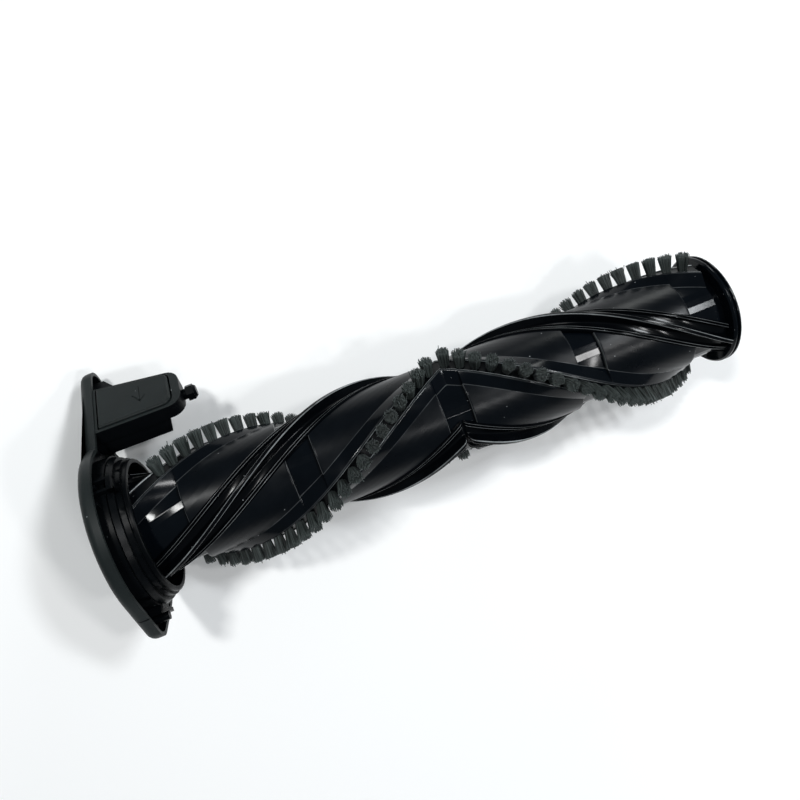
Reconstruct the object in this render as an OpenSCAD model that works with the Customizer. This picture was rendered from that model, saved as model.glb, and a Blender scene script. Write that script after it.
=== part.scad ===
// Carpet brush roll with a latched end cap, in millimetres.
// X runs along the roll from the end cap to the drive end, and Z points up.
// The origin is the mouth of the drive socket. Inside the modules X is counted from
// the chevron's point in the middle of the roll, and seat() moves all of it at the end.

/* [Drum] */
// Length of the drum on the end cap's side of the chevron's point
drum_left = 112; // [103:0.5:140]
// Length of the drum on the drive side of the chevron's point
drum_right = 98.8; // [98:0.2:140]
// Radius of the smooth raised panels
panel_r = 17.4; // [16.7:0.1:18]
// Radius of the recessed bands and of the fins' channels
band_r = 15.9; // [15.5:0.1:16.2]
// Radius of the ribs' lands, where the tufts stand
rib_r = 19.6; // [19:0.1:20]
// Bore through the drum
drum_bore_r = 12.5; // [12:0.1:13.5]
// Degrees that the ribs turn for each millimetre along the roll
twist_rate = 1.87; // [1.2:0.01:2.1]
// Where rib A stands at the chevron's point, from straight up towards +Y
rib_a_angle = 232; // [200:1:260]
// Half width of a rib's land, in degrees
land_half = 9.4; // [8:0.1:12]
// Half width of a rib with its sloping flanks, in degrees
flank_half = 23; // [19:0.5:25]
// Width of the recessed bands
band_w = 9.5; // [6:0.1:12]
// Start of the second band on the end cap's side
band_left = 49; // [30:0.1:60]
// Start of the second band on the drive side
band_right = 44.2; // [30:0.1:60]
// Start of the last band on the end cap's side
end_band_left = 93.3; // [80:0.1:100]
// Start of the last band on the drive side
end_band_right = 88.1; // [80:0.1:94]

/* [Bristles] */
// Radius over the tufts' tips
tip_r = 25.9; // [23:0.1:30]
// Tufts in each half row on the end cap's side
tufts_left = 22; // [6:1:22]
// Tufts in each half row on the drive side
tufts_right = 22; // [6:1:22]
// Distance between tufts along the roll
tuft_pitch = 4.42; // [4.1:0.02:4.5]
// Radius of a tuft at its root
tuft_root_r = 1.4; // [1:0.05:1.6]
// Radius of a tuft at its cut tip
tuft_tip_r = 2.25; // [1:0.05:2.3]
// Depth of a tuft's root below the land
tuft_depth = 1.8; // [1:0.1:2]

/* [Fins] */
// Radius over the fins' blades
blade_r = 20.8; // [19:0.1:22]
// Half width of a fin's base strip, in degrees
strip_half = 20; // [18:0.5:22]
// Half width of a blade, in degrees
blade_half = 2.4; // [1.5:0.1:4]
// Height of the floor between the blade and the beads
strip_floor_r = 16.9; // [16.7:0.1:17.1]
// Radius over the two beads on each side of the blade
bead_r = 18.1; // [17.6:0.1:18.4]

/* [Drive end] */
// Radius of the flange disc
flange_r = 20.2; // [18:0.1:24]
// Thickness of the flange disc
flange_t = 3.2; // [2:0.1:5]
// Radius of the plain hub between the drum and the disc
hub_r = 15; // [13:0.1:15.5]
// Length of the plain hub
hub_len = 2.4; // [2:0.1:12]
// Length of the boss outside the disc
boss_len = 5.2; // [4:0.1:12]
// Radius of the boss
boss_r = 8.5; // [7:0.1:11]
// Radius of the round mouth of the drive socket
socket_mouth_r = 6; // [5.8:0.1:6.8]
// Depth of the round mouth
socket_mouth_len = 4; // [2:0.1:4]
// Radius of the hexagonal socket, over its corners
socket_hex_r = 5.6; // [4:0.1:5.7]

/* [End cap] */
// Radius of the round part of the cover
cap_r = 31; // [30:0.1:36]
// Depth of the cover, skirt and outer wall together
cap_depth = 4.8; // [4.4:0.1:9]
// Wall of the cover
cap_wall = 1.3; // [1:0.1:1.6]
// Rounding of the cover's outer edge
cap_round = 2.8; // [1:0.1:3]
// Gap between the drum's end and the cover's front edge
cap_gap = 2.7; // [2.4:0.1:5]
// Angle of the tab below +Y
tab_angle = 41.2; // [20:0.1:60]
// Half width of the tab
tab_half = 8.2; // [7.6:0.1:9]
// Distance of the tab's middle line from the roll's axis
tab_offset = 17.2; // [16:0.1:19]
// Distance from the axis to the middle of the tab's round end
tab_reach = 54.5; // [52:0.5:62]
// Radius of the small lobe at the cover's other end
lobe_r = 7; // [5:0.1:9]
// Distance of the lobe's middle from the axis
lobe_reach = 28.6; // [27:0.1:31]
// Angle of the lobe, from +Y towards +Z
lobe_angle = 166; // [150:1:190]
// Inner radius of the collar around the roll's end
collar_in_r = 22; // [21.9:0.1:22.4]
// Outer radius of the collar at its front ring
collar_front_r = 23.5; // [23.2:0.1:24]
// Outer radius of the collar at its foot
collar_foot_r = 26.6; // [25.6:0.1:27.4]
// How far the collar reaches over the drum's end
collar_reach = 5.3; // [3:0.1:6]
// Thickness of the base plate that carries the collar
base_t = 1.3; // [1:0.1:1.8]

/* [Bearing] */
// Radius of the axle
axle_r = 3.98; // [3:0.01:4]
// Radius of the bearing's bore
race_in_r = 4.02; // [4.02:0.01:4.1]
// Outer radius of the bearing
race_out_r = 8; // [7.6:0.01:8.2]
// Width of the bearing
race_w = 5; // [4:0.1:6]
// Radius of a ball
ball_r = 1.2; // [1:0.05:1.3]
// Number of balls
ball_count = 8; // [5:1:9]
// Outer radius of the hub that holds the bearing
seat_r = 10; // [9.6:0.1:10.2]

/* [Latch] */
// Length of the latch along the roll, from the cover's front edge
latch_len = 30.2; // [26:0.1:40]
// Width of the latch at the tab
latch_w = 22.6; // [21:0.1:26]
// Width of the latch at its free end
latch_w_end = 17; // [16:0.1:20]
// Distance of the latch's near side from the roll's axis
latch_low = 25.2; // [24:0.1:27]
// Height of the latch, from its frame's top to its floor
latch_h = 11.8; // [10:0.1:13]
// Height of the frame around the button
frame_h = 5.4; // [4.6:0.1:6]
// Wall of the latch body
latch_wall = 1.2; // [0.8:0.1:1.5]
// How much shorter than the frame the body below it is
body_short = 4.4; // [3:0.1:8]
// How much further the body's end leans in towards its floor
body_draft = 2.8; // [0:0.1:5]
// Width of the frame's lip along the button's near side
lip_near = 1.2; // [0.8:0.1:2]
// Width of the frame's lip beyond the button's end
lip_end = 3; // [2:0.1:5]
// Travel of the button
press = 2.2; // [1:0.1:2.4]
// Gap around the button
button_gap = 0.5; // [0.3:0.05:0.8]
// Thickness of the button's plate
button_t = 2; // [1.4:0.1:2.2]
// How far the button stands above the frame
button_proud = 0.8; // [0.2:0.1:1.5]
// Radius of the locating peg's neck
peg_r = 1.9; // [1.4:0.1:2.2]
// Radius of the peg's hexagonal head
peg_head_r = 2.9; // [2.2:0.1:3.2]
// Length of the peg
peg_len = 4.9; // [4:0.1:10]

/* [Hidden] */
$fn = 64;

// Clearances
slip = 0.05;        // a plug in its bore
run = 0.4;          // pieces that turn past each other
strip_gap = 0.3;    // a fin's strip over its channel's floor
small = 0.01;       // a cutter past the face that it cuts

// Places along X, from the chevron's point
drum_x0 = -drum_left;
drum_x1 = drum_right;
flange_x0 = drum_x1 + hub_len;
flange_x1 = flange_x0 + flange_t;
mouth_x = flange_x1 + boss_len;
cap_front = drum_x0 - cap_gap;
cap_back = cap_front - cap_depth;
cover_in = cap_back + cap_wall;
base_top = cover_in + base_t;
plug_t = 1.6;
plug_face = drum_x0 - plug_t;
collar_front = drum_x0 + collar_reach;
seat_front = drum_x0 + 6.1;
race_x0 = seat_front - race_w - 0.2;
clip_t = 0.6;
clip_x0 = race_x0 - 0.4 - clip_t;
axle_x0 = clip_x0 - 0.9;
axle_x1 = seat_front + 13;

// Angles of the four rows at the chevron's point
rib_b_angle = rib_a_angle - 180;
fin_a_angle = rib_b_angle + 90;
fin_b_angle = rib_a_angle + 90;

black = [0.05, 0.05, 0.055];
satin = [0.11, 0.11, 0.115];
grey = [0.17, 0.17, 0.175];
steel = [0.72, 0.73, 0.75];

module seat() translate([-mouth_x, 0, 0]) children();

// A solid of revolution around the roll's axis, from points [x, radius]
module turned(points) rotate([90, 0, 90]) rotate_extrude() polygon([for (p = points) [p[1], p[0]]]);

module ring(x0, x1, r_in, r_out)
    turned([[x0, r_in], [x0, r_out], [x1, r_out], [x1, r_in]]);

module rod(x0, x1, r) translate([x0, 0, 0]) rotate([0, 90, 0]) cylinder(r = r, h = x1 - x0);

// ---- drum and fins: rings of points that turn with the ribs

slice = 4.2;

function phase(x) = -twist_rate * abs(x);
function on_roll(x, angle, r) = [x, r * sin(angle), r * cos(angle)];
function steps(a, b) = ceil((b - a) / slice);
function stations(a, b) = [for (i = [0 : steps(a, b)]) a + (b - a) * i / steps(a, b)];

// Stretches of the drum from left to right: start, end, radius, share of the twist that
// the creases between a band's flats follow
mid_half = band_w / 2;
stretches = [
    [drum_x0, -end_band_left, band_r, 0.5], [-end_band_left, -band_left - band_w, panel_r, 1],
    [-band_left - band_w, -band_left, band_r, 0], [-band_left, -mid_half, panel_r, 1],
    [-mid_half, mid_half, band_r, 0], [mid_half, band_right, panel_r, 1],
    [band_right, band_right + band_w, band_r, 0],
    [band_right + band_w, end_band_right, panel_r, 1], [end_band_right, drum_x1, band_r, 0]];

// The rings of one stretch. Neighbouring stretches meet in a wall step_t thick.
step_t = 0.16;
function stretch_rings(s) = let(
        a = s[0] + (s[0] > drum_x0 ? step_t / 2 : 0),
        b = s[1] - (s[1] < drum_x1 ? step_t / 2 : 0))
    [for (x = a < 0 && b > 0 ? [a, 0, b] : stations(a, b)) ring_at(x, s)];

// Angles between a rib and a channel where a band's flats meet
flats = [-12, -4, 4, 12];
channel_half = strip_half + 0.3;
function gap_angles(side) = let(mid = (flank_half + 90 - channel_half) / 2,
        half = (90 - channel_half - flank_half) / 2)
    [for (k = [0 : 3]) side * mid + flats[k] * half / 23.35];
function middle(s) = s[0] < 0 && s[1] > 0 ? s[1] / 2 : (s[0] + s[1]) / 2;

function ring_at(x, s) = let(
        turn = phase(x),
        crease = phase(middle(s)) + (turn - phase(middle(s))) * s[3],
        r = s[2])
    [for (side = [0, 180]) each concat(
        [for (p = [[-flank_half, r], [-land_half, rib_r], [-land_half + 0.8, rib_r],
                [-land_half + 1, rib_r - 0.4], [land_half - 1, rib_r - 0.4],
                [land_half - 0.8, rib_r], [land_half, rib_r], [flank_half, r]])
            on_roll(x, rib_b_angle + side + turn + p[0], p[1])],
        [for (a = gap_angles(1)) on_roll(x, rib_b_angle + side + crease + a, r)],
        [for (p = [[-channel_half, r], [-channel_half + 0.2, band_r], [-strip_half / 2, band_r],
                [0, band_r], [strip_half / 2, band_r], [channel_half - 0.2, band_r],
                [channel_half, r]])
            on_roll(x, fin_a_angle + side + turn + p[0], p[1])],
        [for (a = gap_angles(-1)) on_roll(x, rib_b_angle + 180 + side + crease + a, r)])];

// Closes a stack of rings that all have as many points into one solid
module skin(rings) {
    n = len(rings[0]);
    last = len(rings) - 1;
    polyhedron(
        points = [for (q = rings) each q],
        faces = concat(
            [[for (i = [n - 1 : -1 : 0]) i]],
            [[for (i = [0 : n - 1]) last * n + i]],
            [for (j = [0 : last - 1]) for (i = [0 : n - 1]) let(k = (i + 1) % n)
                each [[j * n + i, (j + 1) * n + k, (j + 1) * n + i],
                    [j * n + i, j * n + k, (j + 1) * n + k]]]));
}

module drum() color(black) seat() difference() {
    skin([for (s = stretches) each stretch_rings(s)]);
    rod(drum_x0 - 1, drum_x1 + 1, drum_bore_r);
}

// Section of a fin's strip: [angle, radius], back along its foot and then over its top
strip_top = [[-strip_half, panel_r - 0.1], [-strip_half + 1.6, bead_r],
    [-strip_half + 3.4, panel_r - 0.1], [-strip_half + 5.2, bead_r],
    [-strip_half + 7, strip_floor_r], [-blade_half - 1, strip_floor_r],
    [-blade_half, blade_r - 0.2], [0, blade_r], [blade_half, blade_r - 0.2],
    [blade_half + 1, strip_floor_r], [strip_half - 7, strip_floor_r],
    [strip_half - 5.2, bead_r], [strip_half - 3.4, panel_r - 0.1],
    [strip_half - 1.6, bead_r], [strip_half, panel_r - 0.1]];
strip_foot = [for (a = [strip_half, strip_half / 2, 0, -strip_half / 2, -strip_half])
    [a, band_r + strip_gap]];

module fin(x0, x1, angle) color(satin) seat()
    skin([for (x = stations(x0, x1))
        [for (p = concat(strip_foot, strip_top)) on_roll(x, angle + phase(x) + p[0], p[1])]]);

// The strips stop just short of the chevron's point and of the drum's end in the cap, and
// run on to the flange at the drive end
fin_gap = 0.5;
fin_end = 0.6;
fin_over = hub_len - 0.8;

module fin_a_left() fin(drum_x0 + fin_end, -fin_gap, fin_a_angle);
module fin_a_right() fin(fin_gap, drum_x1 + fin_over, fin_a_angle);
module fin_b_left() fin(drum_x0 + fin_end, -fin_gap, fin_b_angle);
module fin_b_right() fin(fin_gap, drum_x1 + fin_over, fin_b_angle);

// ---- bristles

module tuft(x, angle)
    translate([x, 0, 0]) rotate([-angle, 0, 0])
        translate([0, 0, rib_r - tuft_depth])
            cylinder(r1 = tuft_root_r, r2 = tuft_tip_r, h = tip_r - rib_r + tuft_depth, $fn = 24);

// A half row. The drive side starts half a pitch from the chevron's point, the other a
// whole one.
module tufts(side, start, count, angle) color(grey) seat()
    for (i = [0 : count - 1]) let(x = side * (i + start) * tuft_pitch)
        tuft(x, angle + phase(x));

module bristles_a_left() tufts(-1, 1, tufts_left, rib_a_angle);
module bristles_a_right() tufts(1, 0.5, tufts_right, rib_a_angle);
module bristles_b_left() tufts(-1, 1, tufts_left, rib_b_angle);
module bristles_b_right() tufts(1, 0.5, tufts_right, rib_b_angle);

// ---- ends of the roll

cup_r = seat_r + run;
plug_r = drum_bore_r - slip;
rim_out = collar_in_r - run - 0.3;

module end_plug() color(satin) seat() turned([
    [plug_face, cup_r], [plug_face, rim_out], [drum_x0 - slip, rim_out],
    [drum_x0 - slip, plug_r], [axle_x1, plug_r], [axle_x1, axle_r + 0.02],
    [seat_front + run, axle_r + 0.02], [seat_front + run, cup_r]]);

module axle() color(steel) seat() turned([
    [axle_x0, 0], [axle_x0, axle_r - 0.4], [axle_x0 + 0.4, axle_r],
    [clip_x0 - slip, axle_r], [clip_x0 - slip, axle_r - 0.6],
    [clip_x0 + clip_t + slip, axle_r - 0.6], [clip_x0 + clip_t + slip, axle_r],
    [axle_x1 - 0.5, axle_r], [axle_x1 - 0.5, 0]]);

clip_r = axle_r + 1.6;

module axle_clip() color(steel) seat() difference() {
    ring(clip_x0, clip_x0 + clip_t, axle_r - 0.6 + slip, clip_r);
    translate([clip_x0 - 1, -(axle_r - 0.9), 0]) cube([clip_t + 2, 2 * (axle_r - 0.9), clip_r + 1]);
}

groove_w = 0.8;
groove_d = 0.7;
socket_depth = 14;

module drive_hub() color(satin) seat() difference() {
    turned([
        [drum_x1 - 14, 0], [drum_x1 - 14, plug_r - 0.6], [drum_x1 - 13.4, plug_r],
        [drum_x1 + slip, plug_r], [drum_x1 + slip, hub_r], [flange_x0, hub_r],
        [flange_x0, flange_r - 0.6], [flange_x0 + 0.6, flange_r],
        [flange_x0 + flange_t / 2 - groove_w / 2, flange_r],
        [flange_x0 + flange_t / 2 - groove_w / 2, flange_r - groove_d],
        [flange_x0 + flange_t / 2 + groove_w / 2, flange_r - groove_d],
        [flange_x0 + flange_t / 2 + groove_w / 2, flange_r],
        [flange_x1 - 0.6, flange_r], [flange_x1, flange_r - 0.6],
        [flange_x1, boss_r], [mouth_x - 0.5, boss_r], [mouth_x, boss_r - 0.5], [mouth_x, 0]]);
    rod(mouth_x - socket_mouth_len, mouth_x + small, socket_mouth_r);
    translate([mouth_x - socket_depth, 0, 0]) rotate([0, 90, 0])
        cylinder(r = socket_hex_r, h = socket_depth, $fn = 6);
}

// ---- bearing

race_x1 = race_x0 + race_w;
race_mid = (race_x0 + race_x1) / 2;
ball_path = (race_in_r + race_out_r) / 2;
track = ball_r + 0.03;
land = 0.62 * ball_r;
shield_t = 0.4;

module track_cut() rotate([90, 0, 90]) rotate_extrude()
    translate([ball_path, race_mid]) circle(r = track, $fn = 32);

module bearing_outer_race() color(steel) seat() difference() {
    ring(race_x0, race_x1, ball_path + land, race_out_r);
    track_cut();
}

module bearing_inner_race() color(steel) seat() difference() {
    ring(race_x0, race_x1, race_in_r, ball_path - land);
    track_cut();
}

module bearing_balls() color(steel) seat()
    for (i = [0 : ball_count - 1]) rotate([i * 360 / ball_count, 0, 0])
        translate([race_mid, 0, ball_path]) sphere(r = ball_r, $fn = 32);

module bearing_shields() color(steel) seat()
    for (x = [race_x0 + 0.3, race_x1 - 0.3 - shield_t])
        ring(x, x + shield_t, ball_path - land + 0.1, ball_path + land - 0.02);

// ---- end cap

// Local frame of the tab and the latch: Y runs out along the tab, Z faces out of the button
module along_tab() rotate([-tab_angle, 0, 0]) children();

// Points along an arc around [s, m] in that frame
function arc(middle, r, from, to, count) = [for (k = [0 : count]) let(
    a = from + (to - from) * k / count) middle + r * [cos(a), sin(a)]];

// The cover's outline, moved inwards by d: the disc, the small lobe and the tab
lobe_lean = acos((cap_r - lobe_r) / lobe_reach);
lobe_at = lobe_angle + tab_angle;
lobe_middle = lobe_reach * [cos(lobe_at), sin(lobe_at)];
function outline(d) = concat(
    arc([0, 0], cap_r - d, asin((tab_offset + tab_half - d) / (cap_r - d)),
        lobe_at - lobe_lean, 22),
    arc(lobe_middle, lobe_r - d, lobe_at - lobe_lean, lobe_at + lobe_lean, 7),
    arc([0, 0], cap_r - d, lobe_at + lobe_lean,
        360 + asin((tab_offset - tab_half + d) / (cap_r - d)), 26),
    arc([tab_reach, tab_offset], tab_half - d, -90, 90, 14));
function cap_ring(x, d) = let(ps = outline(d), n = len(ps))
    [for (i = [n - 1 : -1 : 0]) [x, ps[i][0], ps[i][1]]];

screw_circle = 16;
screw_angles = [30, 150, 270];
screw_r = 1.2;
screw_head_r = 2.4;
screw_head_t = 1.4;

module at_screws() for (a = screw_angles) rotate([a, 0, 0]) translate([0, screw_circle, 0]) children();

split_w = 0.5;
split_side = 19;
split_r = cap_r / cos(max(0, lobe_lean - split_side));

// The shell runs round the outer edge, over the skirt's rim and down to the floor
module cap_cover() color(satin) seat() difference() {
    along_tab() skin(concat(
        [for (a = [90 : -18 : 0]) cap_ring(cap_back + cap_round * (1 - sin(a)),
            cap_round * (1 - cos(a)))],
        [cap_ring(cap_front, 0), cap_ring(cap_front, cap_wall), cap_ring(cover_in, cap_wall)]));
    at_screws() rod(cover_in - 1.1, cover_in + 1, screw_r + 0.02);
    // the split in the skirt beside the lobe
    rotate([lobe_angle - split_side, 0, 0])
        translate([cap_back - 1, split_r - split_w, -split_w / 2])
            cube([cap_depth + 2, split_w + 1, split_w]);
}

hook_w = 7.2;
hook_wall = 1.1;
hook_angles = [60, 240, 330];
hook_top = cap_front + 0.6;
lug_w = 6;

// Snap hook between the collar and the skirt: a small frame open towards the roll
module hook() difference() {
    translate([base_top - small, collar_foot_r - 0.4, -hook_w / 2])
        cube([hook_top - base_top, cap_r - cap_wall - collar_foot_r + 0.1, hook_w]);
    translate([base_top + 0.5, collar_foot_r - 1, -hook_w / 2 + hook_wall])
        cube([hook_top - base_top + 1, cap_r, hook_w - 2 * hook_wall]);
}

module lug() {
    translate([base_top - small, collar_foot_r - 0.4, -lug_w / 2])
        cube([drum_x0 + 0.4 - base_top, 2, lug_w]);
    translate([base_top - small, collar_foot_r + 1, -lug_w / 2])
        cube([drum_x0 + 1.6 - base_top, 1.4, lug_w]);
    translate([base_top - small, collar_foot_r + 3.4, 0])
        rotate([0, 90, 0]) cylinder(r = 1.4, h = drum_x0 + 0.8 - base_top, $fn = 24);
}

module base_plate() {
    rod(cover_in + small, base_top, cap_r - cap_wall - 0.2);
    along_tab() translate([cover_in + small, 0, tab_offset - tab_half + cap_wall + 0.2])
        cube([base_t - small, latch_low - 1, 2 * (tab_half - cap_wall - 0.2)]);
    rotate([lobe_angle, 0, 0]) translate([0, lobe_reach, 0])
        rod(cover_in + small, base_top, lobe_r - cap_wall - 0.2);
}

module cap_base() color(black) seat() difference() {
    union() {
        base_plate();
        // collar with its stepped outside
        turned([[base_top - small, collar_in_r], [base_top - small, collar_foot_r],
            [drum_x0 - 0.4, collar_foot_r], [drum_x0 - 0.4, collar_foot_r - 0.9],
            [drum_x0 - 0.1, collar_foot_r - 0.9], [drum_x0 - 0.1, collar_foot_r - 0.5],
            [drum_x0 + 1.7, collar_foot_r - 1.3], [drum_x0 + 1.7, collar_front_r + 0.8],
            [drum_x0 + 3.6, collar_front_r + 0.8], [drum_x0 + 3.6, collar_front_r],
            [collar_front - 0.3, collar_front_r], [collar_front, collar_front_r - 0.3],
            [collar_front, collar_in_r]]);
        // hub around the bearing
        rod(base_top - small, seat_front, seat_r);
        for (a = hook_angles) rotate([a, 0, 0]) hook();
        rotate([lobe_angle, 0, 0]) lug();
    }
    rod(race_x0, seat_front + 1, race_out_r + 0.02);
    rod(base_top + 0.6, race_x0 + small, race_out_r - 1.6);
    at_screws() rod(cover_in - 1, base_top + 1, screw_r + 0.15);
}

module cap_screws() color(steel) seat() at_screws() {
    rod(cover_in - 1, base_top + 0.02, screw_r);
    difference() {
        rod(base_top + 0.01, base_top + screw_head_t, screw_head_r);
        translate([base_top + screw_head_t - 0.7, -0.35, -screw_head_r])
            cube([2, 0.7, 2 * screw_head_r]);
        translate([base_top + screw_head_t - 0.7, -screw_head_r, -0.35])
            cube([2, 2 * screw_head_r, 0.7]);
    }
}

// ---- latch, in the tab's frame

function unit(v) = v / norm(v);
function left_of(v) = [-v[1], v[0]];

// Corners of a convex outline, listed anticlockwise, moved inwards by d
function inset(ps, d) = let(n = len(ps)) [for (i = [0 : n - 1]) let(
        u = left_of(unit(ps[i] - ps[(i + n - 1) % n])),
        v = left_of(unit(ps[(i + 1) % n] - ps[i])))
    ps[i] + (u + v) * d / (1 + u * v)];

// The same outline with corner i rounded to rs[i]
function rounded(ps, rs) = let(n = len(ps)) [for (i = [0 : n - 1]) let(
        u = unit(ps[(i + n - 1) % n] - ps[i]), v = unit(ps[(i + 1) % n] - ps[i]),
        half = acos(u * v) / 2, r = rs[i], mid = ps[i] + unit(u + v) * r / sin(half),
        turn = 180 - 2 * half, p = -left_of(unit(v)), start = atan2(p[1], p[0]) - turn)
    each r < 0.05 ? [ps[i]] : [for (k = [0 : 5]) let(a = start + turn * k / 5)
        mid + r * [cos(a), sin(a)]]];

latch_x0 = cap_front + small;
latch_x1 = cap_front + latch_len;
latch_top = tab_offset + tab_half - 0.4;
frame_floor = latch_top - frame_h;
body_floor = latch_top - latch_h;
corner = 5;
far_lip = 0.6;
left_lip = 0.9;

// Plan of the button, [x, distance along the tab], and of the frame around it
button_low = latch_low + lip_near + button_gap;
button_x0 = latch_x0 + left_lip + button_gap;
button_x1 = latch_x1 - lip_end - button_gap;
taper = (latch_w - latch_w_end) / latch_len;
function far_edge(x) = latch_low + latch_w - taper * (x - cap_front);
frame_plan = [[latch_x0, latch_low], [latch_x1, latch_low], [latch_x1, far_edge(latch_x1)],
    [latch_x0, far_edge(latch_x0)]];
button_far = far_lip + button_gap;
button_plan = [[button_x0, button_low], [button_x1, button_low],
    [button_x1, far_edge(button_x1) - button_far], [button_x0, far_edge(button_x0) - button_far]];

module frame_slab(z0, z1, d) translate([0, 0, z0]) linear_extrude(height = z1 - z0)
    polygon(rounded(inset(frame_plan, d), [0, corner - d, corner - d, 0]));

module button_slab(z0, z1, d) translate([0, 0, z0]) linear_extrude(height = z1 - z0)
    polygon(rounded(inset(button_plan, d), [0, 3 - d, 2.4 - d, 0]));

// The body below the frame, cut off by its leaning end wall
module body_form(z0, z1, d) intersection() {
    frame_slab(z0, z1, d);
    translate([0, latch_low + latch_w + 1, 0]) rotate([90, 0, 0])
        linear_extrude(height = latch_w + 2) polygon([
            [latch_x0 - 1, z0], [latch_x1 - body_short - body_draft - d, z0],
            [latch_x1 - body_short - d, latch_top], [latch_x0 - 1, latch_top]]);
}

skirt_clear = 0.3;
foot_low = latch_low + 1.5;
foot_far = far_edge(latch_x0) - 1.5;
foot_top = tab_offset + tab_half - cap_wall - skirt_clear;
gusset_far = tab_reach + 2.5;
gusset_low = tab_offset - 3;

module latch_housing() color(satin) seat() along_tab() difference() {
    union() {
        frame_slab(frame_floor, latch_top, 0);
        body_form(body_floor, frame_floor + small, 0.6);
        // foot that stands on the cover inside the tab
        translate([cover_in + small, foot_low, body_floor])
            cube([latch_x0 + 2 - cover_in, foot_far - foot_low, foot_top - body_floor]);
        // gusset behind the latch
        translate([0, 0, gusset_low]) linear_extrude(height = 6) polygon([
            [cover_in + small, foot_far - 1], [cap_front + 11, foot_far - 1],
            [cap_front + 2.4, gusset_far], [cover_in + small, gusset_far]]);
    }
    body_form(body_floor + latch_wall, frame_floor + latch_wall + small, 0.6 + latch_wall);
    button_slab(frame_floor + latch_wall, latch_top + 1, -button_gap);
}

button_top = latch_top + button_proud;
button_under = button_top - button_t;
stem_r = 3.4;
stem_len = 3;
spring_x = (button_x0 + button_x1) / 2;
spring_y = button_low + 8;

module latch_button() color(satin) seat() along_tab() {
    button_slab(button_under, button_top - 0.4, 0);
    button_slab(button_top - 0.4 - small, button_top, 0.4);
    translate([spring_x, spring_y, button_under - stem_len])
        cylinder(r = stem_r, h = stem_len + small);
}

// The spring under the button: a coil swept as rings of wire
spring_r = 2.5;
wire_r = 0.3;
spring_turns = 5;
function coil_point(t, z0, z1, a) = let(w = 360 * spring_turns * t, r = spring_r + wire_r * cos(a))
    [spring_x + r * cos(w), spring_y + r * sin(w), z0 + (z1 - z0) * t + wire_r * sin(a)];

module latch_spring() color(steel) seat() along_tab() {
    z0 = body_floor + latch_wall + wire_r + 0.05;
    z1 = button_under - stem_len - wire_r - 0.05;
    skin([for (i = [spring_turns * 10 : -1 : 0])
        [for (k = [0 : 4]) coil_point(i / (spring_turns * 10), z0, z1, 72 * k)]]);
}

peg_x0 = latch_x1;
peg_y = latch_low + 6.9;
peg_z = frame_floor + peg_r + 0.1;
peg_head_len = 3.4;

module locating_peg() color(satin) seat() along_tab() translate([0, peg_y, peg_z]) {
    rod(peg_x0, peg_x0 + peg_len - peg_head_len + small, peg_r);
    translate([peg_x0 + peg_len - peg_head_len, 0, 0]) rotate([0, 90, 0])
        cylinder(r = peg_head_r, h = peg_head_len - 0.9, $fn = 6);
    translate([peg_x0 + peg_len - 0.9 - small, 0, 0]) rotate([0, 90, 0])
        cylinder(r1 = peg_head_r * cos(30), r2 = peg_head_r * cos(30) - 0.7, h = 0.9);
}

cap_cover();
cap_base();
cap_screws();
bearing_outer_race();
bearing_balls();
bearing_shields();
latch_housing();
latch_button();
latch_spring();
locating_peg();
axle();
bearing_inner_race();
axle_clip();
end_plug();
drum();
drive_hub();
bristles_a_left();
bristles_a_right();
bristles_b_left();
bristles_b_right();
fin_a_left();
fin_a_right();
fin_b_left();
fin_b_right();
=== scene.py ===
"""The looks of a carpet brush roll with its latched end cap.

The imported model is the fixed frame. Sizes are in millimetres here, and MM turns them into
Blender's metres. X runs along the roll from the cap to the drive end, and Z points up.
"""

import math

import bmesh
import bpy
from mathutils import Matrix, Vector


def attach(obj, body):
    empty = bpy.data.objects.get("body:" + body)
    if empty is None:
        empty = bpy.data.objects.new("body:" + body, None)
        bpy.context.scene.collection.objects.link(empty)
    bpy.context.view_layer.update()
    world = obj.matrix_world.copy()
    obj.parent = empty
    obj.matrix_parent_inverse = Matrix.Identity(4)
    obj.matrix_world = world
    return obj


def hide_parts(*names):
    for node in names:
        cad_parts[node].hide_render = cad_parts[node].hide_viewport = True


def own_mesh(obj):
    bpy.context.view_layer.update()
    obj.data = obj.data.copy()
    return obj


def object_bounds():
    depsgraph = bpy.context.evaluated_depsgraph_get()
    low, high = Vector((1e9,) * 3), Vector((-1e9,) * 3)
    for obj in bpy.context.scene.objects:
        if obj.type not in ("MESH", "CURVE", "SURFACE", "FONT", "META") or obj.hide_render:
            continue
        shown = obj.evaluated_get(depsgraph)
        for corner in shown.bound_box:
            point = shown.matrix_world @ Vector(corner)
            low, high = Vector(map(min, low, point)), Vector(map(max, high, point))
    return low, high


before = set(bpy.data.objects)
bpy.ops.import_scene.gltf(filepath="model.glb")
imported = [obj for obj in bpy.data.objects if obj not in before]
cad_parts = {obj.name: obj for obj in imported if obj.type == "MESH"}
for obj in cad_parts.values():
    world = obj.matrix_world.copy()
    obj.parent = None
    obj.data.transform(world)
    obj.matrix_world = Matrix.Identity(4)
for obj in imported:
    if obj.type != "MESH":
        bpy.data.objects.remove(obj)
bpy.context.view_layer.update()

MM = 0.001
DEG = math.radians(1)

# ---- sizes of the drum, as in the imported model; x counts from the chevron's point, APEX_X
APEX_X = -109.6
DRUM_X0, DRUM_X1 = -112.0, 98.8
PANEL_R, BAND_R, RIB_R, BORE_R = 17.4, 15.9, 19.6, 12.5
TWIST = 1.87
RIB_B, FIN_A = 52.0, 142.0
LAND_HALF, FLANK_HALF, CHANNEL_HALF = 9.4, 23.0, 20.3
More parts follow.
